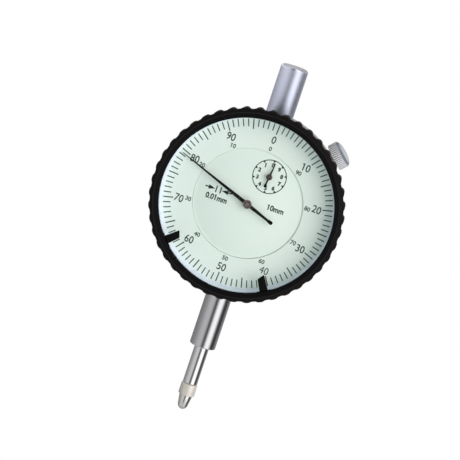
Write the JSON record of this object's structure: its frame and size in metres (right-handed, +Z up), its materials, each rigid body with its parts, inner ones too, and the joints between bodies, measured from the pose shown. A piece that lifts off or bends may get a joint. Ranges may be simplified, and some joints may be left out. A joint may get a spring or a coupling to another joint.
{
  "type": "dial indicator",
  "caption": "Round plunger dial indicator with knurled turning bezel, main pointer, small turn counter, limit markers, clamp screw, clamping stem and rear lug.",
  "frame": {"origin": "on the plunger axis, at the middle of the stem's clamping length", "axes": "+Z up along the plunger, the dial faces -Y, +X is to the right seen from the front"},
  "size_m": [0.058, 0.0411, 0.1101],
  "materials": {
    "case_metal": "fine blasted and clear coated",
    "cover_metal": "satin",
    "steel": "ground",
    "cap_metal": "satin chrome",
    "contact_steel": "turned",
    "ball": "polished",
    "screw_steel": "plated",
    "spring_steel": "drawn wire",
    "hair_steel": "blued",
    "brass": "lapped",
    "jewel": "polished",
    "dial_white": "matt, printed",
    "spacer": "smooth",
    "crystal": "clear, polished",
    "hand_black": "satin",
    "hub_metal": "turned",
    "bezel_black": "satin moulded",
    "marker_black": "satin",
    "clamp_metal": "bright plated"
  },
  "bodies": {
    "case": {"case": "case_metal", "rear_cover": "cover_metal", "rear_cover_screws": "screw_steel", "stem": "steel", "upper_bushing": "brass", "dust_cap": "cap_metal", "guide_rail": "steel", "guide_rail_screws": "screw_steel", "return_spring": "spring_steel", "spring_post": "steel", "pinion_bridge": "brass", "pinion_bridge_posts": "steel", "pinion_bridge_screws": "screw_steel", "hairspring": "hair_steel", "hairspring_stud": "steel", "bridge_plate": "brass", "bridge_pillars": "steel", "bridge_screws": "screw_steel", "jewel_bearings": "jewel", "inner_dial": "dial_white", "bezel_spring": "spring_steel"},
    "plunger": {"spindle": "steel", "contact_point": "contact_steel", "contact_ball": "ball", "guide_pin": "steel"},
    "drive_arbor": {"rack_pinion": "steel", "drive_gear": "brass"},
    "centre_arbor": {"centre_pinion": "steel", "pointer": "hand_black", "pointer_hub": "hub_metal"},
    "counter_arbor": {"counter_arbor": "steel", "takeup_gear": "brass", "hairspring_collet": "brass", "counter_hand": "hand_black"},
    "bezel": {"bezel": "bezel_black", "crystal": "crystal", "crystal_spacer": "spacer", "dial_ring": "dial_white", "dial_retainer": "spring_steel"},
    "limit_low": {"limit_marker_low": "marker_black"},
    "limit_high": {"limit_marker_high": "marker_black"},
    "clamp": {"clamp_screw": "clamp_metal"}
  },
  "joints": [
    {"name": "spindle_travel", "type": "slide", "parent": "case", "child": "plunger", "axis": [0, 0, 1], "range_m": [0, 0.0105], "stiffness_N_per_m": 40, "springref_m": -0.02, "deforming": ["return_spring"]},
    {"name": "drive_turn", "type": "hinge", "parent": "case", "child": "drive_arbor", "pos_m": [-0.00359, 0, 0.02726], "axis": [0, 1, 0], "range_deg": [-380, 2]},
    {"name": "pointer_turn", "type": "hinge", "parent": "case", "child": "centre_arbor", "pos_m": [0, 0, 0.03692], "axis": [0, 1, 0], "range_deg": [-2, 3790]},
    {"name": "counter_turn", "type": "hinge", "parent": "case", "child": "counter_arbor", "pos_m": [0.00359, 0, 0.04657], "axis": [0, 1, 0], "range_deg": [-380, 2]},
    {"name": "bezel_turn", "type": "hinge", "parent": "case", "child": "bezel", "pos_m": [0, 0, 0.03692], "axis": [0, 1, 0], "continuous": true},
    {"name": "limit_low_slide", "type": "hinge", "parent": "bezel", "child": "limit_low", "pos_m": [0, 0, 0.03692], "axis": [0, 1, 0], "range_deg": [-130, 30]},
    {"name": "limit_high_slide", "type": "hinge", "parent": "bezel", "child": "limit_high", "pos_m": [0, 0, 0.03692], "axis": [0, 1, 0], "range_deg": [-30, 130]},
    {"name": "clamp_turn", "type": "hinge", "parent": "case", "child": "clamp", "pos_m": [0, -0.005, 0.03692], "axis": [0.6947, 0, 0.7193], "range_deg": [-45, 360]}
  ],
  "couplings": [
    {"joint": "drive_turn", "follows": "spindle_travel", "rad_per_m": -628.32},
    {"joint": "pointer_turn", "follows": "spindle_travel", "rad_per_m": 6283.2},
    {"joint": "counter_turn", "follows": "spindle_travel", "rad_per_m": -628.32}
  ]
}
